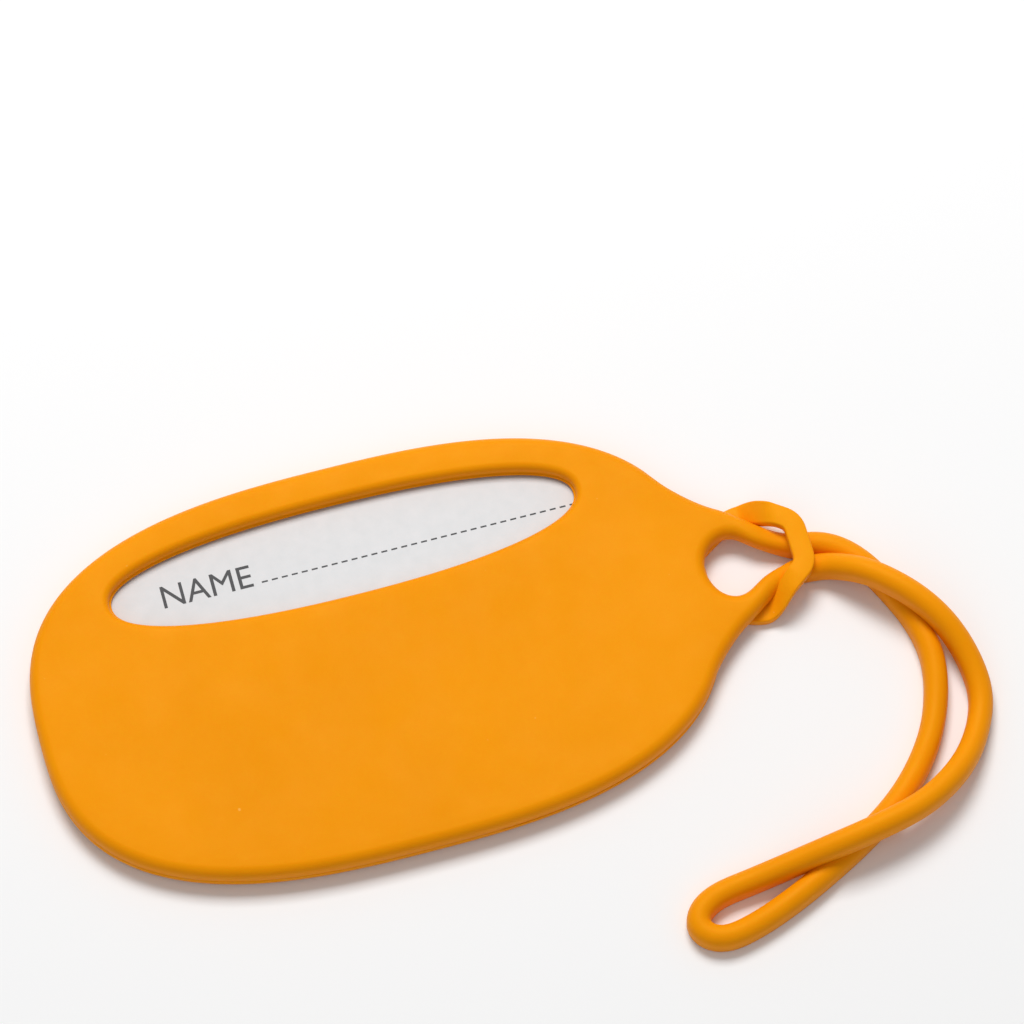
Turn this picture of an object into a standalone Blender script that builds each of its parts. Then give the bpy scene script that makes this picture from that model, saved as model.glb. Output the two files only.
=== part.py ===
"""Silicone luggage tag: a thin oval pouch for an address card, with a moulded strap loop and a closing ring.

The tag lies on its back. +X runs towards the strap, +Y towards the window's side and +Z out of the front.
The origin is under the middle of the tag's box without its strap, at the level that it lies on.
Sizes are in millimetres and are turned into metres as each mesh is made.
"""

import math

import bmesh
import bpy
from mathutils import Vector

MM = 0.001
GAP = 0.3  # clearance between neighbouring solids

# Plan of the pouch, measured from its own centre
BODY_HALF_LENGTH = 50.0
BODY_HALF_WIDTH = 30.5
BODY_POWER = 2.7  # superellipse exponent of the outline
PLAN_SHIFT = -8.0  # puts the middle of pouch and ring at the origin
OUTLINE_POINTS = 88

# Heights
TAB_FACE_Z = 0.0
PLATE_BACK_Z = 0.5
PLATE_INNER_Z = 1.55
SHELL_BACK_Z = PLATE_INNER_Z + GAP
CARD_THICKNESS = 0.3
POCKET_CEILING_Z = SHELL_BACK_Z + CARD_THICKNESS + GAP
SHELL_TOP_Z = 4.4
SHELL_EDGE_RADIUS = 1.6
PLATE_EDGE = 0.25

# Front shell: window, shoulders and neck
WINDOW_CENTRE = (-1.0, 17.7)
WINDOW_HALF_LENGTH = 34.1
WINDOW_HALF_WIDTH = 7.0
WINDOW_POWER = 2.25
WINDOW_LIP = 0.9  # how far the rolled rim flares at the top
SHOULDER_START_X = 46.3
NECK_END_X = 54.3
NECK_HALF_WIDTH = 8.8
EYE_RADIUS = 4.4
EYE_CENTRE_X = 54.0

# Address card
CARD_LENGTH = 88.0
CARD_WIDTH = 46.5
CARD_END_LENGTH = 19.0  # length of each elliptical end
CARD_SIDE_GAP = 0.35

# The front bends up about a line between the window's end and the neck
BEND_X = 40.0

# Back: plate, tab and ring
TAB_START_X = 43.3
TAB_END_X = 49.5
TAB_HALF_WIDTH = 5.85
RING_WIDTH = 2.6
RING_THICKNESS = 1.5
RING_RISE = 3.8
RING_RISE_POWER = 1.2
RING_RISE_START_X = 57.3
RING_RISE_END_X = 63.2
RING_ROUTE = ((55.0, 7.9), (59.6, 7.9), (64.9, 3.4))  # corners of one half, from tab to far bar
RING_ROOT_Y = 4.4
RING_CORNER_RADIUS = 1.6

# Neck arms and strap
STRAP_DIAMETER = 3.3
STRAP_FLOOR_Z = STRAP_DIAMETER / 2 + 0.02
STRAP_SPACING = 2.9
CROSSING_Z = STRAP_FLOOR_Z + STRAP_DIAMETER + 0.35
ARM_SIDES = 12

# Arm stations: x, half the spread of the two centre lines, their middle y, width, lowest z, highest z
ARM_STATIONS = (
    (54.6, 6.40, 0.0, 4.2, 2.45, 4.40),
    (56.0, 5.30, 0.0, 3.4, 1.90, 4.40),
    (58.0, 4.20, 0.0, 3.2, 1.85, 4.40),
    (59.7, 3.35, 0.0, 3.2, 1.40, 4.15),
    (61.6, 2.55, 0.0, 3.2, 0.60, 3.65),
    (63.5, 2.00, -0.2, 3.1, 0.10, 3.30),
    (65.4, 1.75, -0.6, 3.0, 0.05, 3.30),
)

# Strap route from the lower arm, round the end loop and back to the upper arm
STRAP_ROUTE = (
    (66.9, -3.00, 2.1),
    (68.4, -4.00, 3.1),
    (70.0, -5.10, 4.2),
    (71.9, -6.50, 5.1),
    (74.4, -8.80, 5.5),
    (77.7, -12.3, 5.4),
    (80.4, -16.2, 4.6),
    (82.2, -20.2, 3.2),
    (83.1, -24.6, 2.1),
    (83.0, -28.6, STRAP_FLOOR_Z),
    (81.4, -32.5, 1.9),
    (78.9, -36.4, 2.9),
    (75.1, -40.1, 4.2),
    (69.6, -43.2, 4.9),
    (62.7, -45.0, CROSSING_Z),
    (56.0, -46.0, 4.9),
    (49.6, -46.5, 3.2),
    (42.6, -47.2, 1.9),
    (36.7, -48.1, STRAP_FLOOR_Z),
    (33.3, -51.2, STRAP_FLOOR_Z),
    (36.0, -54.4, STRAP_FLOOR_Z),
    (40.6, -53.9, STRAP_FLOOR_Z),
    (45.6, -52.3, STRAP_FLOOR_Z),
    (52.0, -49.5, STRAP_FLOOR_Z),
    (60.5, -45.0, STRAP_FLOOR_Z),
    (67.8, -39.9, STRAP_FLOOR_Z),
    (73.5, -33.4, STRAP_FLOOR_Z),
    (76.7, -26.8, STRAP_FLOOR_Z),
    (78.0, -20.5, STRAP_FLOOR_Z),
    (77.2, -14.6, STRAP_FLOOR_Z),
    (75.0, -9.00, STRAP_FLOOR_Z),
    (72.7, -4.40, STRAP_FLOOR_Z),
    (70.1, -1.20, STRAP_FLOOR_Z),
    (67.0, 0.70, STRAP_FLOOR_Z),
)

ORANGE = (0.87, 0.30, 0.004)
ORANGE_BACK = (0.96, 0.36, 0.006)
PAPER = (0.82, 0.82, 0.83)


# ---------------------------------------------------------------- scene and materials


def clear_scene():
    for obj in list(bpy.data.objects):
        bpy.data.objects.remove(obj, do_unlink=True)


def material(name, colour, roughness):
    made = bpy.data.materials.new(name)
    made.use_nodes = True
    shader = made.node_tree.nodes["Principled BSDF"]
    shader.inputs["Base Color"].default_value = (*colour, 1.0)
    shader.inputs["Roughness"].default_value = roughness
    shader.inputs["Metallic"].default_value = 0.0
    made.diffuse_color = (*colour, 1.0)
    return made


# ---------------------------------------------------------------- plan outlines, in millimetres


def superellipse_y(x):
    """Half-width of the pouch's outline at x."""
    return BODY_HALF_WIDTH * (1 - abs(x / BODY_HALF_LENGTH) ** BODY_POWER) ** (1 / BODY_POWER)


def superellipse(half_x, half_y, power, count, centre=(0.0, 0.0)):
    points = []
    for i in range(count):
        turn = 2 * math.pi * i / count
        c, s = math.cos(turn), math.sin(turn)
        x = half_x * math.copysign(abs(c) ** (2 / power), c)
        y = half_y * math.copysign(abs(s) ** (2 / power), s)
        points.append((centre[0] + x, centre[1] + y))
    return points


def even_spacing(points, count):
    """The same closed outline with points at equal distances."""
    closed = [Vector(p) for p in points] + [Vector(points[0])]
    lengths = [(b - a).length for a, b in zip(closed, closed[1:])]
    step = sum(lengths) / count
    spaced, walked, i = [], 0.0, 0
    for k in range(count):
        target = k * step
        while walked + lengths[i] < target:
            walked += lengths[i]
            i += 1
        spaced.append(tuple(closed[i].lerp(closed[i + 1], (target - walked) / lengths[i])))
    return spaced


def cubic(a, b, c, d, steps):
    """Points of a Bezier curve after its start, up to its end."""
    points = []
    for i in range(1, steps + 1):
        t = i / steps
        weights = ((1 - t) ** 3, 3 * t * (1 - t) ** 2, 3 * t * t * (1 - t), t**3)
        points.append(tuple(sum(w * p[k] for w, p in zip(weights, (a, b, c, d))) for k in (0, 1)))
    return points


def body_outline():
    fine = superellipse(BODY_HALF_LENGTH, BODY_HALF_WIDTH, BODY_POWER, 720)
    return even_spacing(fine, OUTLINE_POINTS)


def half_shell_outline():
    """Upper half of the front shell, from the far end of the pouch to the end of the neck."""
    points = [p for p in reversed(body_outline()) if p[1] > 0.01 and p[0] < SHOULDER_START_X - 1]
    start = (SHOULDER_START_X, superellipse_y(SHOULDER_START_X))
    end = (NECK_END_X, NECK_HALF_WIDTH)
    points.sort()
    points.append(start)
    points += cubic(start, (start[0] + 1.75, start[1] - 2.7), (end[0] - 2.6, end[1] + 1.4), end, 7)
    return points


def split_half_outline():
    """The upper half's points on each side of the bend, with the cut's own point on both."""
    upper = half_shell_outline()
    fixed_cut, free_cut = BEND_X - GAP / 2, BEND_X + GAP / 2
    fixed = [p for p in upper if p[0] < fixed_cut] + [(fixed_cut, superellipse_y(fixed_cut))]
    free = [(free_cut, superellipse_y(free_cut))] + [p for p in upper if p[0] > free_cut]
    return fixed, free


def front_shell_outline():
    """The fixed part of the front, from the far end of the pouch to the bend."""
    fixed, _ = split_half_outline()
    return [(-BODY_HALF_LENGTH, 0.0)] + fixed + [(x, -y) for x, y in reversed(fixed)]


def front_lip_outline():
    """The part that lifts: concave shoulders and a neck that ends in the near arc of the eye."""
    _, upper = split_half_outline()
    eye = []
    arc_steps = 12
    for i in range(arc_steps + 1):
        turn = math.pi / 2 + math.pi * i / arc_steps
        eye.append((EYE_CENTRE_X + EYE_RADIUS * math.cos(turn), EYE_RADIUS * math.sin(turn)))
    return upper + eye + [(x, -y) for x, y in reversed(upper)]


def card_outline(grow=0.0):
    """Straight top and bottom with elliptical ends."""
    half_x, half_y = CARD_LENGTH / 2 + grow, CARD_WIDTH / 2 + grow
    end = CARD_END_LENGTH + grow
    points = []
    steps = 14
    for side in (1, -1):
        for i in range(steps + 1):
            turn = math.pi * (i / steps - 0.5)
            points.append((side * (half_x - end + end * math.cos(turn)), side * half_y * math.sin(turn)))
    return points


def card_path_outline():
    """The room that the card fills and slides through, open past the neck."""
    clear = card_outline(CARD_SIDE_GAP)
    far_end = [p for p in clear if p[0] < 0]
    far_end.sort(key=lambda p: -p[1])
    way_out = NECK_END_X + 5
    top, bottom = far_end[0], far_end[-1]
    return [(way_out, top[1])] + far_end + [(way_out, bottom[1])]


# ---------------------------------------------------------------- solids


def counter_clockwise(points):
    area = sum(a[0] * b[1] - b[0] * a[1] for a, b in zip(points, points[1:] + points[:1]))
    return points if area > 0 else points[::-1]


def inset(points, distance):
    """The outline moved inwards by distance, point by point."""
    moved = []
    for before, here, after in zip(points[-1:] + points[:-1], points, points[1:] + points[:1]):
        first = (Vector(here) - Vector(before)).normalized()
        second = (Vector(after) - Vector(here)).normalized()
        inward = Vector((-first.y - second.y, first.x + second.x)).normalized()
        lean = max(0.5, inward.dot(Vector((-first.y, first.x))))
        moved.append(tuple(Vector(here) + inward * distance / lean))
    return moved


def add_object(name, mesh, look):
    mesh.materials.append(look)
    obj = bpy.data.objects.new(name, mesh)
    bpy.context.scene.collection.objects.link(obj)
    return obj


def solid_from_rings(name, rings, look):
    """Closed solid through rings of equally many points (millimetres), with flat caps."""
    shape = bmesh.new()
    rows = [[shape.verts.new(((x + PLAN_SHIFT) * MM, y * MM, z * MM)) for x, y, z in ring] for ring in rings]
    count = len(rows[0])
    for low, high in zip(rows, rows[1:]):
        for i in range(count):
            j = (i + 1) % count
            shape.faces.new((low[i], low[j], high[j], high[i]))
    shape.faces.new(rows[0][::-1])
    shape.faces.new(rows[-1])
    bmesh.ops.recalc_face_normals(shape, faces=shape.faces)
    mesh = bpy.data.meshes.new(name)
    shape.to_mesh(mesh)
    shape.free()
    return add_object(name, mesh, look)


def stacked(name, outline, levels, look):
    """Solid from one outline and (height, inset) levels, lowest first."""
    ordered = counter_clockwise(outline)
    rings = []
    for height, distance in levels:
        plan = inset(ordered, distance) if distance else ordered
        rings.append([(x, y, height) for x, y in plan])
    return solid_from_rings(name, rings, look)


def cutter(name, outline, levels, look):
    tool = stacked(name, outline, levels, look)
    tool.hide_render = True
    tool.display_type = "WIRE"
    return tool


def cut(obj, tool):
    boolean = obj.modifiers.new(tool.name, "BOOLEAN")
    boolean.operation = "DIFFERENCE"
    boolean.solver = "EXACT"
    boolean.object = tool


def round_edge_levels(low_z, top_z, radius, steps=4):
    """Levels of a straight wall whose top edge is a quarter circle."""
    levels = [(low_z, 0.0)]
    for i in range(steps + 1):
        turn = math.pi / 2 * i / steps
        levels.append((top_z - radius + radius * math.sin(turn), radius * (1 - math.cos(turn))))
    return levels


# ---------------------------------------------------------------- the tag's pieces


def pocket_cutter(name, look):
    """Room for the card under the front, up to the pocket's ceiling."""
    return cutter(name, card_path_outline(), [(0.0, 0.0), (POCKET_CEILING_Z, 0.0)], look)


def make_front_shell(look):
    levels = round_edge_levels(SHELL_BACK_Z, SHELL_TOP_Z, SHELL_EDGE_RADIUS)
    shell = stacked("front_shell", front_shell_outline(), levels, look)
    window = superellipse(WINDOW_HALF_LENGTH, WINDOW_HALF_WIDTH, WINDOW_POWER, 360, WINDOW_CENTRE)
    rim_z = SHELL_TOP_Z - WINDOW_LIP
    flare = [(0.0, 0.0), (rim_z, 0.0), (SHELL_TOP_Z - 0.25, -0.4 * WINDOW_LIP)]
    flare.append((SHELL_TOP_Z + 1, -3.0 * WINDOW_LIP))
    cut(shell, cutter("window_cutter", even_spacing(window, 64), flare, look))
    cut(shell, pocket_cutter("shell_pocket_cutter", look))


def make_front_lip(look):
    levels = round_edge_levels(SHELL_BACK_Z, SHELL_TOP_Z, SHELL_EDGE_RADIUS)
    lip = stacked("front_lip", front_lip_outline(), levels, look)
    cut(lip, pocket_cutter("lip_pocket_cutter", look))


def make_back_plate(look):
    levels = [(PLATE_BACK_Z, PLATE_EDGE), (PLATE_BACK_Z + PLATE_EDGE, 0.0), (PLATE_INNER_Z, 0.0)]
    plate = stacked("back_plate", body_outline(), levels, look)
    seat_x, seat_y = TAB_START_X - GAP, TAB_HALF_WIDTH + GAP
    seat = [(seat_x, -seat_y), (seat_x + 20, -seat_y), (seat_x + 20, seat_y), (seat_x, seat_y)]
    cut(plate, cutter("tab_seat_cutter", seat, [(-1.0, 0.0), (SHELL_BACK_Z, 0.0)], look))


def make_closing_tab(look):
    corners = [
        (TAB_START_X, -TAB_HALF_WIDTH),
        (TAB_END_X, -TAB_HALF_WIDTH),
        (TAB_END_X, TAB_HALF_WIDTH),
        (TAB_START_X, TAB_HALF_WIDTH),
    ]
    return stacked("closing_tab", corners, [(TAB_FACE_Z, 0.0), (PLATE_INNER_Z, 0.0)], look)


def ring_lift(x):
    """How far the ring has risen at x, from the tab's level to over the two strands."""
    t = (x - RING_RISE_START_X) / (RING_RISE_END_X - RING_RISE_START_X)
    return RING_RISE * min(max(t, 0.0), 1.0) ** RING_RISE_POWER


def rounded_route(corners, radius, steps=5):
    """An open run of straight lines with each inner corner rounded."""
    points = [Vector(corners[0])]
    for before, here, after in zip(corners, corners[1:], corners[2:]):
        here = Vector(here)
        back = (Vector(before) - here).normalized() * radius
        ahead = (Vector(after) - here).normalized() * radius
        for i in range(steps + 1):
            t = i / steps
            points.append(here + back * (1 - t) ** 2 + ahead * t * t)
    points.append(Vector(corners[-1]))
    return points


def make_closing_ring(look):
    """Flat hexagonal band that leaves both corners of the tab and rises over the strands."""
    start = (TAB_END_X + GAP, -RING_ROOT_Y)
    lower = [start] + [(x, -y) for x, y in RING_ROUTE]
    upper = [(x, y) for x, y in reversed(RING_ROUTE)] + [(start[0], RING_ROOT_Y)]
    route = rounded_route(lower + upper, RING_CORNER_RADIUS)
    rings = []
    for i, here in enumerate(route):
        ahead = (route[min(i + 1, len(route) - 1)] - route[max(i - 1, 0)]).normalized()
        side = Vector((ahead.y, -ahead.x)) * RING_WIDTH / 2
        if i in (0, len(route) - 1):
            side = Vector((0.0, -1.0 if i == 0 else 1.0)) * RING_WIDTH / 2
        inner, outer = here - side, here + side
        foot = [(p.x, p.y, ring_lift(p.x)) for p in (inner, outer)]
        head = [(p.x, p.y, ring_lift(p.x) + RING_THICKNESS) for p in (outer, inner)]
        rings.append(foot + head)
    return solid_from_rings("closing_ring", rings, look)


def make_neck_arm(name, side, look):
    """One of the two round arms that close the eye; side is +1 or -1."""
    rings = []
    centres = [Vector((x, middle + side * spread)) for x, spread, middle, *_ in ARM_STATIONS]
    last = len(ARM_STATIONS) - 1
    for i, (x, _, _, width, low, high) in enumerate(ARM_STATIONS):
        ahead = (centres[min(i + 1, last)] - centres[max(i - 1, 0)]).normalized()
        across = Vector((-ahead.y, ahead.x)) if 0 < i < last else Vector((0.0, 1.0))
        ring = []
        for k in range(ARM_SIDES):
            turn = 2 * math.pi * k / ARM_SIDES
            reach = across * (width / 2) * math.cos(turn)
            middle, half_height = (low + high) / 2, (high - low) / 2
            plan = centres[i] + reach
            ring.append((plan.x, plan.y, middle + half_height * math.sin(turn)))
        rings.append(ring)
    return solid_from_rings(name, rings, look)


def make_address_card(look):
    low = SHELL_BACK_Z
    return stacked("address_card", card_outline(), [(low, 0.0), (low + CARD_THICKNESS, 0.0)], look)


def smooth_curve(route, spacing):
    """Points at even distances along a Catmull-Rom curve through the route."""
    knots = [Vector(p) for p in route]
    knots = [knots[0] * 2 - knots[1]] + knots + [knots[-1] * 2 - knots[-2]]
    fine = []
    steps = 24
    for a, b, c, d in zip(knots, knots[1:], knots[2:], knots[3:]):
        for i in range(steps):
            t = i / steps
            bend = (2 * a - 5 * b + 4 * c - d) * t * t + (3 * b - a - 3 * c + d) * t**3
            fine.append((2 * b + (c - a) * t + bend) / 2)
    fine.append(knots[-2])
    lengths = [(q - p).length for p, q in zip(fine, fine[1:])]
    count = round(sum(lengths) / spacing)
    step = sum(lengths) / count
    points, walked, i = [fine[0]], 0.0, 0
    for k in range(1, count):
        while walked + lengths[i] < k * step:
            walked += lengths[i]
            i += 1
        points.append(fine[i].lerp(fine[i + 1], (k * step - walked) / lengths[i]))
    return points + [fine[-1]]


def make_strap_loop(look):
    points = smooth_curve(STRAP_ROUTE, STRAP_SPACING)
    curve = bpy.data.curves.new("strap_loop", "CURVE")
    curve.dimensions = "3D"
    curve.bevel_depth = STRAP_DIAMETER / 2 * MM
    curve.bevel_resolution = 2
    curve.use_fill_caps = True
    spline = curve.splines.new("POLY")
    spline.points.add(len(points) - 1)
    for point, place in zip(spline.points, points):
        height = max(place.z, STRAP_FLOOR_Z)
        point.co = ((place.x + PLAN_SHIFT) * MM, place.y * MM, height * MM, 1.0)
    return add_object("strap_loop", curve, look)


def main():
    clear_scene()
    make_front_shell(material("silicone_front", ORANGE, 0.42))
    make_front_lip(material("silicone_lip", ORANGE, 0.42))
    make_back_plate(material("silicone_back", ORANGE_BACK, 0.42))
    make_closing_tab(material("silicone_tab", ORANGE_BACK, 0.42))
    make_closing_ring(material("silicone_ring", ORANGE, 0.42))
    make_neck_arm("neck_arm_upper", 1, material("silicone_arm_upper", ORANGE, 0.42))
    make_neck_arm("neck_arm_lower", -1, material("silicone_arm_lower", ORANGE, 0.42))
    make_strap_loop(material("silicone_strap", ORANGE, 0.42))
    make_address_card(material("card_paper", PAPER, 0.8))


main()
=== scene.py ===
import math

import bmesh
import bpy
import numpy as np
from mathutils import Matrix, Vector
from mathutils.geometry import delaunay_2d_cdt


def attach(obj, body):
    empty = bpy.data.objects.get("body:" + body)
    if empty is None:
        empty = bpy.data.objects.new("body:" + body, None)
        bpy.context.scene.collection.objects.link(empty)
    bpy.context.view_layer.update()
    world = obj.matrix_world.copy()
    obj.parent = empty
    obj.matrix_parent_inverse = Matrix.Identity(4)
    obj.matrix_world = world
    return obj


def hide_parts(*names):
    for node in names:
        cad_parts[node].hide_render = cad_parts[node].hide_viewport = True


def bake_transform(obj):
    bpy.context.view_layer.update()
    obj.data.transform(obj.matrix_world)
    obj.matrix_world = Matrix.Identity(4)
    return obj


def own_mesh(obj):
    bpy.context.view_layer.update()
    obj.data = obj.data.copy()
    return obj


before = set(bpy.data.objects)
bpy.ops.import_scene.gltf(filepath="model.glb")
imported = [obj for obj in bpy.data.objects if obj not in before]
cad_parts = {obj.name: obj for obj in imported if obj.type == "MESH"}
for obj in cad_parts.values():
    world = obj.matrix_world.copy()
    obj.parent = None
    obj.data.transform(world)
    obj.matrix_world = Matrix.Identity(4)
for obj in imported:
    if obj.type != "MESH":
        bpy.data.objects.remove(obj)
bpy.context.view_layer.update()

# The pouch is laid out in millimetres about its own middle, which lies at x = -8 mm in the frame.
MM = 0.001
PLAN_SHIFT = -8.0


def place(x, y, z):
    return Vector(((x + PLAN_SHIFT) * MM, y * MM, z * MM))


# ---------------------------------------------------------------- camera

# Angles in degrees, distances and the lens in millimetres
CAMERA_AZIMUTH = -15.3
CAMERA_ELEVATION = 66.6
CAMERA_DISTANCE = 830.0
CAMERA_ACROSS = 12.0
CAMERA_UP = 20.0
LENS = 200.8


def make_camera():
    azimuth, elevation = math.radians(CAMERA_AZIMUTH), math.radians(CAMERA_ELEVATION)
    flat = math.cos(elevation)
    back = Vector((math.sin(azimuth) * flat, -math.cos(azimuth) * flat, math.sin(elevation)))
    right = Vector((math.cos(azimuth), math.sin(azimuth), 0.0))
    up = back.cross(right)
    data = bpy.data.cameras.new("camera")
    data.sensor_width = 36.0
    data.lens = LENS
    data.clip_start = 0.05
    data.clip_end = 10.0
    camera = bpy.data.objects.new("camera", data)
    bpy.context.scene.collection.objects.link(camera)
    camera.location = (right * CAMERA_ACROSS + up * CAMERA_UP + back * CAMERA_DISTANCE) * MM
    camera.rotation_mode = "QUATERNION"
    camera.rotation_quaternion = (-back).to_track_quat("-Z", "Y")
    bpy.context.scene.camera = camera


make_camera()

# ---------------------------------------------------------------- materials


def linear(red, green, blue):
    """A colour from 0 to 255 in each channel, as linear light."""
    out = []
    for value in (red, green, blue):
        v = value / 255
        out.append(v / 12.92 if v <= 0.04045 else ((v + 0.055) / 1.055) ** 2.4)
    return (*out, 1.0)


def shader(name, roughness):
    look = bpy.data.materials.new(name)
    look.use_nodes = True
    tree = look.node_tree
    surface = tree.nodes["Principled BSDF"]
    surface.inputs["Roughness"].default_value = roughness
    return look, tree, surface


def noise(tree, scale, detail=3.0, roughness=0.55):
    where = tree.nodes.new("ShaderNodeTexCoord")
    texture = tree.nodes.new("ShaderNodeTexNoise")
    texture.inputs["Scale"].default_value = scale
    texture.inputs["Detail"].default_value = detail
    texture.inputs["Roughness"].default_value = roughness
    tree.links.new(where.outputs["Object"], texture.inputs["Vector"])
    return texture.outputs["Fac"]


def ramp(tree, value, stops):
    node = tree.nodes.new("ShaderNodeValToRGB")
    node.color_ramp.elements[0].position = stops[0][0]
    node.color_ramp.elements[0].color = stops[0][1]
    node.color_ramp.elements[1].position = stops[-1][0]
    node.color_ramp.elements[1].color = stops[-1][1]
    for position, colour in stops[1:-1]:
        node.color_ramp.elements.new(position).color = colour
    tree.links.new(value, node.inputs["Fac"])
    return node.outputs["Color"]


def grey(level):
    return (level, level, level, 1.0)


def bump(tree, surface, height, strength, distance):
    node = tree.nodes.new("ShaderNodeBump")
    node.inputs["Strength"].default_value = strength
    node.inputs["Distance"].default_value = distance
    tree.links.new(height, node.inputs["Height"])
    tree.links.new(node.outputs["Normal"], surface.inputs["Normal"])


def add_up(tree, first, second, share):
    node = tree.nodes.new("ShaderNodeMath")
    node.operation = "MULTIPLY_ADD"
    node.inputs[1].default_value = share
    tree.links.new(second, node.inputs[0])
    tree.links.new(first, node.inputs[2])
    return node.outputs["Value"]


def silicone(name, dark, light):
    """Satin silicone rubber: a fine grain, a slow drift of colour and a few specks of dust."""
    look, tree, surface = shader(name, 0.52)
    slow = ramp(tree, noise(tree, 45.0, 4.0), [(0.35, dark), (0.65, light)])
    dust = ramp(tree, noise(tree, 900.0, 1.0), [(0.0, grey(0.0)), (0.80, grey(0.0)), (0.84, grey(1.0))])
    mix = tree.nodes.new("ShaderNodeMix")
    mix.data_type = "RGBA"
    mix.inputs["B"].default_value = (0.95, 0.42, 0.06, 1.0)
    tree.links.new(dust, mix.inputs["Factor"])
    tree.links.new(slow, mix.inputs["A"])
    tree.links.new(mix.outputs["Result"], surface.inputs["Base Color"])
    shine = ramp(tree, noise(tree, 160.0, 3.0), [(0.3, grey(0.46)), (0.7, grey(0.58))])
    tree.links.new(shine, surface.inputs["Roughness"])
    grain = add_up(tree, noise(tree, 2600.0, 2.0), noise(tree, 240.0, 2.0), 1.4)
    bump(tree, surface, grain, 0.25, 0.00006)
    surface.inputs["Specular IOR Level"].default_value = 0.3
    surface.inputs["Specular Tint"].default_value = (1.0, 0.70, 0.16, 1.0)
    surface.inputs["IOR"].default_value = 1.43
    surface.inputs["Subsurface Weight"].default_value = 0.12
    surface.inputs["Subsurface Radius"].default_value = (1.0, 0.35, 0.08)
    surface.inputs["Subsurface Scale"].default_value = 0.0008
    return look


def paper(name):
    look, tree, surface = shader(name, 0.72)
    tone = ramp(tree, noise(tree, 500.0, 5.0), [(0.3, linear(216, 217, 218)), (0.7, linear(221, 221, 222))])
    tree.links.new(tone, surface.inputs["Base Color"])
    bump(tree, surface, noise(tree, 3200.0, 4.0), 0.2, 0.00004)
    surface.inputs["Specular IOR Level"].default_value = 0.3
    return look


def ink(name):
    look, _, surface = shader(name, 0.6)
    surface.inputs["Base Color"].default_value = linear(60, 60, 62)
    return look


def floor_look():
    look, _, surface = shader("floor", 0.85)
    surface.inputs["Base Color"].default_value = grey(0.93)
    surface.inputs["Specular IOR Level"].default_value = 0.1
    return look


# ---------------------------------------------------------------- plan curves


def smooth_curve(route, spacing):
    """Points at even distances along a Catmull-Rom curve through the route."""
    knots = [Vector(p) for p in route]
    knots = [knots[0] * 2 - knots[1]] + knots + [knots[-1] * 2 - knots[-2]]
    fine = []
    steps = 24
    for a, b, c, d in zip(knots, knots[1:], knots[2:], knots[3:]):
        for i in range(steps):
            t = i / steps
            bend = (2 * a - 5 * b + 4 * c - d) * t * t + (3 * b - a - 3 * c + d) * t**3
            fine.append((2 * b + (c - a) * t + bend) / 2)
    fine.append(knots[-2])
    return even(fine, spacing)


def even(line, spacing):
    """The same line with its points at even distances."""
    line = [Vector(p) for p in line]
    lengths = [(q - p).length for p, q in zip(line, line[1:])]
    total = sum(lengths)
    count = max(1, round(total / spacing))
    step = total / count
    points, walked, i = [line[0]], 0.0, 0
    for k in range(1, count):
        while walked + lengths[i] < k * step:
            walked += lengths[i]
            i += 1
        points.append(line[i].lerp(line[i + 1], (k * step - walked) / lengths[i]))
    return points + [line[-1]]


def superellipse(half_x, half_y, power, centre=(0.0, 0.0), steps=1440):
    points = []
    for i in range(steps):
        turn = 2 * math.pi * i / steps
        c, s = math.cos(turn), math.sin(turn)
        x = half_x * math.copysign(abs(c) ** (2 / power), c)
        y = half_y * math.copysign(abs(s) ** (2 / power), s)
        points.append((centre[0] + x, centre[1] + y))
    return points


def ring_of(points, spacing):
    """A closed loop at even spacing, turning left, without its end repeated."""
    line = [Vector(p) for p in points]
    area = sum(p.x * q.y - q.x * p.y for p, q in zip(line, line[1:] + line[:1]))
    if area < 0:
        line.reverse()
    return even(line + [line[0]], spacing)[:-1]


def offset(loop, distance):
    """The loop moved to its left by distance, which is inwards for a loop that turns left.
    Distance is a number or a function of x."""
    moved = []
    for before, here, after in zip(loop[-1:] + loop[:-1], loop, loop[1:] + loop[:1]):
        ahead = (after - before).normalized()
        reach = distance(here.x) if callable(distance) else distance
        moved.append(here + Vector((-ahead.y, ahead.x)) * reach)
    return moved


def cubic(a, b, c, d, steps):
    """Points of a Bezier curve after its start, up to its end."""
    points = []
    for i in range(1, steps + 1):
        t = i / steps
        weights = ((1 - t) ** 3, 3 * t * (1 - t) ** 2, 3 * t * t * (1 - t), t**3)
        points.append(tuple(sum(w * p[k] for w, p in zip(weights, (a, b, c, d))) for k in (0, 1)))
    return points


def eased(x, start, end):
    t = min(max((x - start) / (end - start), 0.0), 1.0)
    return t * t * (3 - 2 * t)


# ---------------------------------------------------------------- meshes


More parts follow.
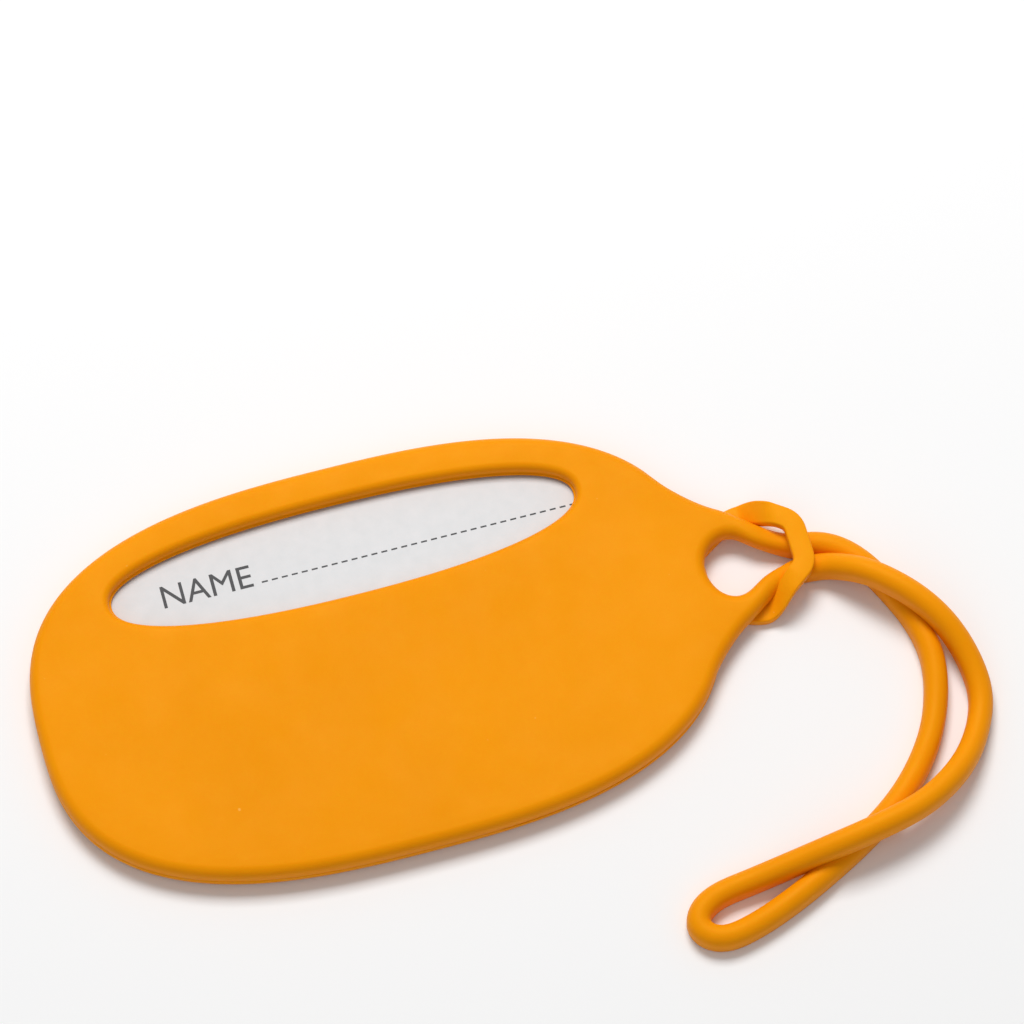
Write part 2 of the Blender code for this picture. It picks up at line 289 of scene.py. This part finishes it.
class Skin:
    """A mesh in the making: loops of points, joined by strips and filled by caps."""

    def __init__(self):
        self.points = []
        self.faces = []

    def loop(self, plan, height):
        """A loop of new points. Height is a number or a function of x and y."""
        first = len(self.points)
        for p in plan:
            z = height(p[0], p[1]) if callable(height) else height
            self.points.append((p[0], p[1], z))
        return list(range(first, len(self.points)))

    def loop_3d(self, points):
        first = len(self.points)
        self.points += [tuple(p) for p in points]
        return list(range(first, len(self.points)))

    def strip(self, a, b):
        """Faces between two closed loops of as many points."""
        for i in range(len(a)):
            j = (i + 1) % len(a)
            self.faces.append((a[i], a[j], b[j], b[i]))

    def fan(self, loop, flip=False):
        self.faces.append(tuple(reversed(loop)) if flip else tuple(loop))

    def fill(self, outer, holes, step, height, up, margin=0.6):
        """Triangles between an outer loop and the holes in it, with a grid of points inside."""
        loops = [outer, *holes]
        known = [i for loop in loops for i in loop]
        flat = np.array([self.points[i][:2] for i in known])
        edges, start = [], 0
        for loop in loops:
            n = len(loop)
            edges += [(start + i, start + (i + 1) % n) for i in range(n)]
            start += n
        rims = [np.array([self.points[i][:2] for i in loop]) for loop in loops]
        low, high = flat.min(0), flat.max(0)
        xs = np.arange(low[0] + step, high[0], step)
        ys = np.arange(low[1] + step, high[1], step)
        grid = np.array([(x, y) for x in xs for y in ys]).reshape(-1, 2)
        keep = inside(grid, rims[0])
        for rim in rims[1:]:
            keep &= ~inside(grid, rim)
        grid = grid[keep]
        if len(grid):
            nearest = np.sqrt(((grid[:, None, :] - flat[None, :, :]) ** 2).sum(2)).min(1)
            grid = grid[nearest > margin]
        plan = [Vector(p) for p in flat] + [Vector(p) for p in grid]
        coords, _, triangles, origins, _, _ = delaunay_2d_cdt(plan, edges, [], 0, 1e-7)
        index = []
        for at, origin in zip(coords, origins):
            if origin and origin[0] < len(known):
                index.append(known[origin[0]])
            else:
                z = height(at.x, at.y) if callable(height) else height
                self.points.append((at.x, at.y, z))
                index.append(len(self.points) - 1)
        middles = np.array([sum((coords[i] for i in t), Vector((0, 0))) / 3 for t in triangles])
        keep = inside(middles, rims[0])
        for rim in rims[1:]:
            keep &= ~inside(middles, rim)
        for good, t in zip(keep, triangles):
            if good:
                a, b, c = (coords[i] for i in t)
                turns_left = (b - a).cross(c - a) > 0
                order = t if turns_left == up else list(reversed(t))
                self.faces.append(tuple(index[i] for i in order))

    def object(self, name, look, smooth=True):
        mesh = bpy.data.meshes.new(name)
        mesh.from_pydata([place(*p) for p in self.points], [], self.faces)
        mesh.materials.append(look)
        mesh.polygons.foreach_set("use_smooth", [smooth] * len(mesh.polygons))
        mesh.update()
        made = bpy.data.objects.new(name, mesh)
        bpy.context.scene.collection.objects.link(made)
        return made


def inside(points, rim):
    """Which points lie inside a closed rim."""
    x, y = points[:, 0], points[:, 1]
    result = np.zeros(len(points), bool)
    for (ax, ay), (bx, by) in zip(rim, np.roll(rim, -1, 0)):
        crosses = (ay > y) != (by > y)
        with np.errstate(divide="ignore", invalid="ignore"):
            at = (bx - ax) * (y - ay) / (by - ay) + ax
        result ^= crosses & (x < at)
    return result


def weld(made, distance):
    work = bmesh.new()
    work.from_mesh(made.data)
    bmesh.ops.remove_doubles(work, verts=work.verts, dist=distance)
    bmesh.ops.recalc_face_normals(work, faces=work.faces)
    work.to_mesh(made.data)
    work.free()


# ---------------------------------------------------------------- the front moulding

BACK_Z = 1.85
CEILING_Z = 2.45
TOP_Z = 4.4
EDGE_RADIUS = 1.6
BODY = (50.0, 30.5, 2.7)  # half length, half width and power of the outline's superellipse
WINDOW = (34.8, 7.3, 2.25)  # the same for the window
WINDOW_CENTRE = (-0.3, 17.4)
WINDOW_ROLL = 1.1  # radius of the window's rolled rim
WINDOW_LEDGE = 0.30  # width of the ledge inside it
LEDGE_Z = 2.78
ARM_INSET = 0.14  # share by which the rounding of the edge narrows in the arms
FRONT_STEP = 1.5  # spacing of the points inside the front's faces
SEAM_X = 63.5
ARM_FOOT_Z = 0.06
ARM_TOP_Z = 3.32

SHOULDER_START = (46.3, 16.4)
# Outer edge of the upper arm, from the neck to past the closing ring
UPPER_EDGE = (
    (55.7, 7.75), (57.2, 6.55), (58.7, 5.45), (60.3, 4.45),
    (62.0, 3.5), (63.7, 2.85), (65.3, 2.5), (67.5, 2.45),
)
# Outer edge of the lower arm, the other way
LOWER_EDGE = (
    (67.5, -4.35), (65.3, -4.35), (63.7, -4.35), (62.1, -4.45),
    (60.5, -4.85), (58.9, -5.6), (57.3, -6.7), (55.7, -7.85),
)
# The eye between the arms, from the end of the lower arm round to the end of the upper one
EYE = (
    (67.5, -1.0), (65.3, -1.0), (63.8, -1.02), (62.2, -1.2), (60.6, -1.7), (58.9, -2.35), (57.4, -3.1),
    (56.0, -4.0), (54.6, -4.75), (52.9, -4.9), (51.2, -3.9), (50.1, -2.1), (49.7, 0.1), (50.2, 2.2),
    (51.5, 3.75), (53.2, 4.5), (54.9, 4.3), (56.2, 3.4), (57.4, 2.4), (58.9, 1.5), (60.6, 0.7),
    (62.4, -0.1), (63.8, -0.6), (65.3, -0.75), (67.5, -0.75),
)


def front_outline():
    body = superellipse(*BODY)
    upper = [p for p in body if p[1] >= 0 and p[0] < SHOULDER_START[0] - 0.8]
    lower = [p for p in body if p[1] < 0 and p[0] < SHOULDER_START[0] - 0.8]
    start, end = SHOULDER_START, (54.3, 8.8)
    upper_shoulder = cubic(start, (start[0] + 1.75, start[1] - 2.7), (end[0] - 2.6, end[1] + 1.4), end, 7)
    lower_shoulder = [(x, -y) for x, y in reversed(upper_shoulder)]
    upper_arm = smooth_curve([upper_shoulder[-2], upper_shoulder[-1], *UPPER_EDGE], 0.4)[3:]
    lower_arm = smooth_curve([*LOWER_EDGE, lower_shoulder[0], lower_shoulder[1]], 0.4)[:-3]
    eye = smooth_curve(EYE, 0.4)
    points = sorted(upper, key=lambda p: -p[0])
    points += sorted(lower, key=lambda p: p[0])
    points += [(start[0], -start[1])]
    points += sorted(lower_shoulder[1:], key=lambda p: p[0])
    points += [tuple(p) for p in reversed(lower_arm)]
    points += [tuple(p) for p in eye]
    points += [tuple(p) for p in reversed(upper_arm)]
    points += sorted(upper_shoulder[:-1], key=lambda p: -p[0])
    points += [start]
    loop = ring_of(points, 0.5)
    relaxed = []
    for before, here, after in zip(loop[-1:] + loop[:-1], loop, loop[1:] + loop[:1]):
        relaxed.append((before + here * 2 + after) / 4 if here.x < 66.5 else here)
    return relaxed


def front_top(x):
    return TOP_Z - (TOP_Z - ARM_TOP_Z) * eased(x, 56.0, 61.9)


def front_base(x):
    return BACK_Z - (BACK_Z - ARM_FOOT_Z) * eased(x, 56.6, 63.2)


def make_front(look):
    skin = Skin()
    outline = front_outline()
    wall = []
    for turn in (0, 13, 26, 39, 52, 65, 77, 88):
        t = math.radians(turn)
        inset, drop = EDGE_RADIUS * (1 - math.cos(t)), EDGE_RADIUS * (1 - math.sin(t))
        plan = offset(outline, lambda x, i=inset: i * (1 - ARM_INSET * eased(x, 53.5, 57.0)))
        wall.append(skin.loop(plan, lambda x, y, d=drop: front_top(x) - d))
    foot = []
    for inset, lift in ((0.0, 0.3), (0.04, 0.12), (0.12, 0.03), (0.3, 0.0)):
        foot.append(skin.loop(offset(outline, inset), lambda x, y, h=lift: front_base(x) + h))
    skin.strip(foot[0], wall[0])
    for a, b in zip(wall, wall[1:]):
        skin.strip(a, b)
    for a, b in zip(foot, foot[1:]):
        skin.strip(b, a)
    # the window: a rolled rim, a ledge and the opening
    opening = ring_of(superellipse(*WINDOW, centre=WINDOW_CENTRE), 0.5)
    rim = []
    for turn in (88, 76, 63, 50, 37, 24, 12, 0):
        t = math.radians(turn)
        out, drop = WINDOW_ROLL * (1 - math.cos(t)), WINDOW_ROLL * (1 - math.sin(t))
        rim.append((WINDOW_LEDGE + out, TOP_Z - drop))
    rim += [(0.28, LEDGE_Z + 0.04), (0.22, LEDGE_Z), (0.06, LEDGE_Z - 0.02)]
    rim += [(0.0, LEDGE_Z - 0.08), (0.0, CEILING_Z)]
    rings = [skin.loop(offset(opening, -out), z) for out, z in rim]
    for a, b in zip(rings, rings[1:]):
        skin.strip(a, b)
    skin.fill(wall[-1], [rings[0]], FRONT_STEP, lambda x, y: front_top(x), True)
    # underneath: the pocket for the card, with a ramp at the neck
    pocket = ring_of(pocket_outline(0.35, 5.6), 1.0)
    ceiling = ring_of(pocket_outline(0.25, 0.3), 1.0)
    low = skin.loop(pocket, BACK_Z)
    high = skin.loop([nearest_on(ceiling, p) for p in pocket], CEILING_Z)
    skin.strip(high, low)
    skin.fill(foot[-1], [low], FRONT_STEP, lambda x, y: front_base(x), False)
    skin.fill(high, [rings[-1]], FRONT_STEP, CEILING_Z, False)
    made = skin.object("front_moulding", look)
    weld(made, 1e-7)
    cut_end(made, SEAM_X)
    return made


def pocket_outline(grow, reach):
    """The card's outline with room round it, drawn out by reach at the neck."""
    points = []
    for x, y in card_outline(grow):
        points.append((x + reach * eased(x, 24.0, 44.0), y))
    return points


def nearest_on(loop, p):
    """The point of a loop that is nearest to p."""
    best = min(range(len(loop)), key=lambda i: (loop[i] - p).length_squared)
    return loop[best]


def cut_end(made, x):
    """Trims the mesh past x and closes the cut."""
    work = bmesh.new()
    work.from_mesh(made.data)
    everything = work.verts[:] + work.edges[:] + work.faces[:]
    bmesh.ops.bisect_plane(
        work, geom=everything, plane_co=place(x, 0, 0), plane_no=(1, 0, 0), clear_outer=True
    )
    rims = [e for e in work.edges if e.is_boundary]
    bmesh.ops.holes_fill(work, edges=rims, sides=0)
    work.to_mesh(made.data)
    work.free()


# ---------------------------------------------------------------- the back moulding

PLATE_BACK_Z = 0.5
PLATE_INNER_Z = 1.55
PLATE_ROUNDING = 0.45
PLATE_STEP = 3.0  # spacing of the points inside the plate's faces
BOND_RISE = 0.26  # how far the bonded half rises to meet the front


def plate_top(x):
    """The plate is bonded to the front up to the pouch's middle, and lies free of it beyond."""
    return PLATE_INNER_Z + BOND_RISE * (1 - eased(x, 6.0, 14.0))


def make_plate(look):
    skin = Skin()
    outline = ring_of(superellipse(*BODY), 0.6)
    levels = []
    for turn in (90, 70, 50, 30, 12, 0):
        t = math.radians(turn)
        inset, lift = PLATE_ROUNDING * (1 - math.cos(t)), PLATE_ROUNDING * (1 - math.sin(t))
        levels.append(skin.loop(offset(outline, inset), PLATE_BACK_Z + lift))
    levels.append(skin.loop(outline, lambda x, y: plate_top(x) - 0.14))
    levels.append(skin.loop(offset(outline, 0.04), lambda x, y: plate_top(x) - 0.04))
    levels.append(skin.loop(offset(outline, 0.14), lambda x, y: plate_top(x)))
    for a, b in zip(levels, levels[1:]):
        skin.strip(a, b)
    skin.fill(levels[0], [], PLATE_STEP, PLATE_BACK_Z, False)
    skin.fill(levels[-1], [], PLATE_STEP, lambda x, y: plate_top(x), True)
    return skin.object("back_plate_moulding", look)


TAB = (43.3, 49.9, 5.85)  # x of its start and end, half width
RING_WIDTH = 3.1
RING_THICKNESS = 1.5
RING_RISE = 3.7
# The closing ring's middle line from the tab's lower corner round the pointed far end to its upper corner
RING_CORNERS = (
    (48.5, -3.7), (54.3, -7.25), (57.4, -7.95), (63.9, -3.1),
    (63.9, 3.8), (57.8, 8.15), (54.5, 7.5), (48.5, 3.7),
)


def ring_lift(x):
    t = min(max((x - 57.0) / 4.4, 0.0), 1.0)
    return RING_RISE * (0.45 * t + 0.55 * t * t * (3 - 2 * t))


def rounded_route(corners, radius, steps=8):
    """An open run of straight lines with each inner corner rounded."""
    points = [Vector(corners[0])]
    for before, here, after in zip(corners, corners[1:], corners[2:]):
        here = Vector(here)
        back = (Vector(before) - here).normalized() * radius
        ahead = (Vector(after) - here).normalized() * radius
        for i in range(steps + 1):
            t = i / steps
            points.append(here + back * (1 - t) ** 2 + ahead * t * t)
    points.append(Vector(corners[-1]))
    return points


def make_tab(look):
    """The raised tab that the closing ring grows from."""
    skin = Skin()
    start, end, width = TAB
    tab = ring_of([(start, -width), (end, -width), (end, width), (start, width)], 0.4)
    levels = [skin.loop(offset(tab, 0.12), 0.0), skin.loop(tab, 0.12), skin.loop(tab, 1.3)]
    for a, b in zip(levels, levels[1:]):
        skin.strip(a, b)
    skin.fan(levels[0], True)
    skin.fan(levels[-1])
    return skin.object("tab", look)


def make_ring(look):
    """The hexagonal ring that leaves the tab's corners and rises over the strands."""
    skin = Skin()
    route = even(rounded_route(RING_CORNERS, 1.5), 0.4)
    half, edge = RING_WIDTH / 2, 0.3
    section = []
    corners = ((half, 0.0, -90), (half, RING_THICKNESS, 0), (-half, RING_THICKNESS, 90), (-half, 0.0, 180))
    for side, height, turn in corners:
        middle = (side - math.copysign(edge, side), height + edge if height == 0 else height - edge)
        for step in (0, 30, 60, 90):
            t = math.radians(turn + step)
            section.append((middle[0] + edge * math.cos(t), middle[1] + edge * math.sin(t)))
    loops = []
    for i, here in enumerate(route):
        ahead = (route[min(i + 1, len(route) - 1)] - route[max(i - 1, 0)]).normalized()
        side = Vector((ahead.y, -ahead.x))
        points = []
        for across, height in section:
            p = here + side * across
            points.append((p.x, p.y, ring_lift(p.x) + height))
        loops.append(skin.loop_3d(points))
    for a, b in zip(loops, loops[1:]):
        skin.strip(b, a)
    skin.fan(loops[0])
    skin.fan(loops[-1], True)
    return skin.object("ring", look)


# ---------------------------------------------------------------- strap

STRAP_FLOOR_Z = 1.67
STRAP_WIDTH = 3.5
CROSSING_Z = 5.32
# Strap route from the lower arm, round the end loop and back to the upper arm
STRAP_ROUTE = (
    (66.9, -3.00, 2.1),
    (68.4, -4.00, 3.1),
    (70.0, -5.10, 4.2),
    (71.9, -6.50, 5.1),
    (74.4, -8.80, 5.5),
    (77.7, -12.3, 5.4),
    (80.4, -16.2, 4.6),
    (82.2, -20.2, 3.2),
    (83.1, -24.6, 2.1),
    (83.0, -28.6, STRAP_FLOOR_Z),
    (81.4, -32.5, 1.9),
    (78.9, -36.4, 2.9),
    (75.1, -40.1, 4.2),
    (69.6, -43.2, 4.9),
    (62.7, -45.0, CROSSING_Z),
    (56.0, -46.0, 4.9),
    (49.6, -46.5, 3.2),
    (42.6, -47.2, 1.9),
    (36.7, -48.1, STRAP_FLOOR_Z),
    (33.3, -51.2, STRAP_FLOOR_Z),
    (36.0, -54.4, STRAP_FLOOR_Z),
    (40.6, -53.9, STRAP_FLOOR_Z),
    (45.6, -52.3, STRAP_FLOOR_Z),
    (52.0, -49.5, STRAP_FLOOR_Z),
    (60.5, -45.0, STRAP_FLOOR_Z),
    (67.8, -39.9, STRAP_FLOOR_Z),
    (73.5, -33.4, STRAP_FLOOR_Z),
    (76.7, -26.8, STRAP_FLOOR_Z),
    (78.0, -20.5, STRAP_FLOOR_Z),
    (77.2, -14.6, STRAP_FLOOR_Z),
    (75.0, -9.00, STRAP_FLOOR_Z),
    (72.7, -4.40, STRAP_FLOOR_Z),
    (70.1, -1.20, STRAP_FLOOR_Z),
    (67.0, 0.70, STRAP_FLOOR_Z),
)
# Where each strand meets its arm under the closing ring
LOWER_SEAM = (SEAM_X, -2.70, STRAP_FLOOR_Z)
UPPER_SEAM = (SEAM_X, 1.12, STRAP_FLOOR_Z)


def strap_section():
    """A flat back and a half-round front, as points across and up from the middle."""
    half = STRAP_WIDTH / 2
    points = [(half - 0.16, -1.6), (half - 0.05, -1.55), (half, -1.44), (half, -0.7)]
    steps = 14
    for i in range(steps + 1):
        turn = math.pi * i / steps
        points.append((half * math.cos(turn), half * math.sin(turn)))
    return points + [(-half, -0.7), (-half, -1.44), (-half + 0.05, -1.55), (-half + 0.16, -1.6)]


def strap_line():
    points = smooth_curve((LOWER_SEAM, *STRAP_ROUTE, UPPER_SEAM), 0.7)
    for _ in range(14):
        middles = [(a + b * 2 + c) / 4 for a, b, c in zip(points, points[1:], points[2:])]
        points = [points[0], *middles, points[-1]]
    return [Vector((p.x, p.y, max(p.z, STRAP_FLOOR_Z))) for p in points]


def make_strap(look):
    skin = Skin()
    line = strap_line()
    section = strap_section()
    loops = []
    for i, here in enumerate(line):
        ahead = (line[min(i + 1, len(line) - 1)] - line[max(i - 1, 0)]).normalized()
        if i in (0, len(line) - 1):
            ahead = Vector((1.0 if i == 0 else -1.0, 0.0, 0.0))
        side = ahead.cross(Vector((0, 0, 1))).normalized()
        up = side.cross(ahead)
        loops.append(skin.loop_3d([here + side * u + up * v for u, v in section]))
    for a, b in zip(loops, loops[1:]):
        skin.strip(b, a)
    skin.fan(loops[0])
    skin.fan(loops[-1], True)
    return skin.object("strap", look)


# ---------------------------------------------------------------- card

CARD = (88.0, 46.5, 19.0)  # length, width, length of each elliptical end
CARD_MIDDLE_Y = 2.6  # the card and its pocket lie off the middle, towards the window
CARD_Z = 1.85
CARD_THICKNESS = 0.3
# Label, where it starts and where its dashed rule starts
ROWS = (
    ("NAME", -28.0, -13.0),
    ("", 0.0, -28.0),
    ("ADDRESS", -28.0, -7.0),
    ("", 0.0, -28.0),
    ("PHONE", -28.0, -11.5),
    ("", 0.0, -28.0),
)
FIRST_BASELINE = 15.7
ROW_PITCH = 6.1
DASH_END = 35.5
DASH_PITCH = 1.5
DASH = (0.9, 0.25)  # length and thickness
LETTER_HEIGHT = 5.1


def card_outline(grow=0.0):
    """Straight top and bottom with elliptical ends."""
    half_x, half_y = CARD[0] / 2 + grow, CARD[1] / 2 + grow
    end = CARD[2] + grow
    points = []
    steps = 28
    for side in (1, -1):
        for i in range(steps + 1):
            turn = math.pi * (i / steps - 0.5)
            x = side * (half_x - end + end * math.cos(turn))
            points.append((x, CARD_MIDDLE_Y + side * half_y * math.sin(turn)))
    return points


def make_card(look):
    skin = Skin()
    outline = ring_of(card_outline(), 0.8)
    low, high = CARD_Z, CARD_Z + CARD_THICKNESS
    levels = []
    for inset, z in ((0.04, low), (0.0, low + 0.04), (0.0, high - 0.04), (0.04, high)):
        levels.append(skin.loop(offset(outline, inset), z))
    for a, b in zip(levels, levels[1:]):
        skin.strip(a, b)
    skin.fan(levels[0], True)
    skin.fan(levels[-1])
    return skin.object("card", look)


def make_print(look):
    """The card's labels and dashed rules, as a thin layer of ink."""
    skin = Skin()
    z = CARD_Z + CARD_THICKNESS + 0.012
    for row, (_, _, start) in enumerate(ROWS):
        y = FIRST_BASELINE - ROW_PITCH * row
        for i in range(int((DASH_END - start) / DASH_PITCH)):
            x = start + i * DASH_PITCH
            corners = [(x, y, z), (x + DASH[0], y, z), (x + DASH[0], y + DASH[1], z), (x, y + DASH[1], z)]
            skin.fan(skin.loop_3d(corners))
    made = [skin.object("print_rules", look, smooth=False)]
    for row, (label, start, _) in enumerate(ROWS):
        if label:
            text = bpy.data.curves.new("text", "FONT")
            text.body = label
            text.size = LETTER_HEIGHT * MM
            text.resolution_u = 6
            letters = bpy.data.objects.new("text", text)
            bpy.context.scene.collection.objects.link(letters)
            letters.location = place(start, FIRST_BASELINE - ROW_PITCH * row - 0.2, z)
            bpy.context.view_layer.update()
            shown = letters.evaluated_get(bpy.context.evaluated_depsgraph_get())
            mesh = bpy.data.meshes.new_from_object(shown)
            mesh.transform(letters.matrix_world)
            mesh.materials.clear()
            mesh.materials.append(look)
            bpy.data.objects.remove(letters)
            printed = bpy.data.objects.new("print_" + label.lower(), mesh)
            bpy.context.scene.collection.objects.link(printed)
            made.append(printed)
    return made


# ---------------------------------------------------------------- put together

front_look = silicone("front_silicone_look", linear(239, 146, 2), linear(243, 150, 4))
back_look = silicone("back_silicone_look", linear(244, 152, 6), linear(248, 157, 9))
paper_look = paper("paper_look")
ink_look = ink("ink_look")

strap = make_strap(front_look)
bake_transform(strap)
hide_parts("strap_loop")
[place(*p) for p in strap_line()]

front = make_front(front_look)
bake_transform(front)
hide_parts("front_shell", "front_lip", "neck_arm_upper", "neck_arm_lower")

plate = make_plate(back_look)
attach(plate, "pouch")
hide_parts("back_plate")

tab = make_tab(back_look)
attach(tab, "pouch")
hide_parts("closing_tab")

# The ring is built risen over the strands, with a mesh of its own. Off the strands it would lie flat behind
# the card, but nothing here lays it there.
ring = make_ring(back_look)
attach(ring, "pouch")
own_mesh(ring)
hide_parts("closing_ring")

card = make_card(paper_look)
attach(card, "card")
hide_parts("address_card")
for printed in make_print(ink_look):
    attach(printed, "card")

# ---------------------------------------------------------------- floor and light


def make_floor():
    mesh = bpy.data.meshes.new("floor")
    reach = 3.0
    corners = [(-reach, -reach, 0), (reach, -reach, 0), (reach, reach, 0), (-reach, reach, 0)]
    mesh.from_pydata(corners, [], [(0, 1, 2, 3)])
    mesh.materials.append(floor_look())
    floor = bpy.data.objects.new("floor", mesh)
    floor.location.z = -0.00003
    bpy.context.scene.collection.objects.link(floor)


def make_light(name, location, size, power):
    data = bpy.data.lights.new(name, "AREA")
    data.shape = "RECTANGLE"
    data.size, data.size_y = size
    data.energy = power
    light = bpy.data.objects.new(name, data)
    light.location = location
    light.rotation_mode = "QUATERNION"
    light.rotation_quaternion = Vector(location).to_track_quat("Z", "Y")
    bpy.context.scene.collection.objects.link(light)


def make_world(level):
    world = bpy.data.worlds.new("studio")
    world.use_nodes = True
    background = world.node_tree.nodes["Background"]
    background.inputs["Color"].default_value = grey(1.0)
    background.inputs["Strength"].default_value = level
    bpy.context.scene.world = world


make_floor()
make_light("key", (0.08, 0.50, 0.82), (0.5, 0.36), 7.2)
make_light("fill", (-0.5, -0.6, 0.7), (0.8, 0.8), 0.8)
make_world(0.36)
bpy.context.scene.view_settings.view_transform = "Standard"
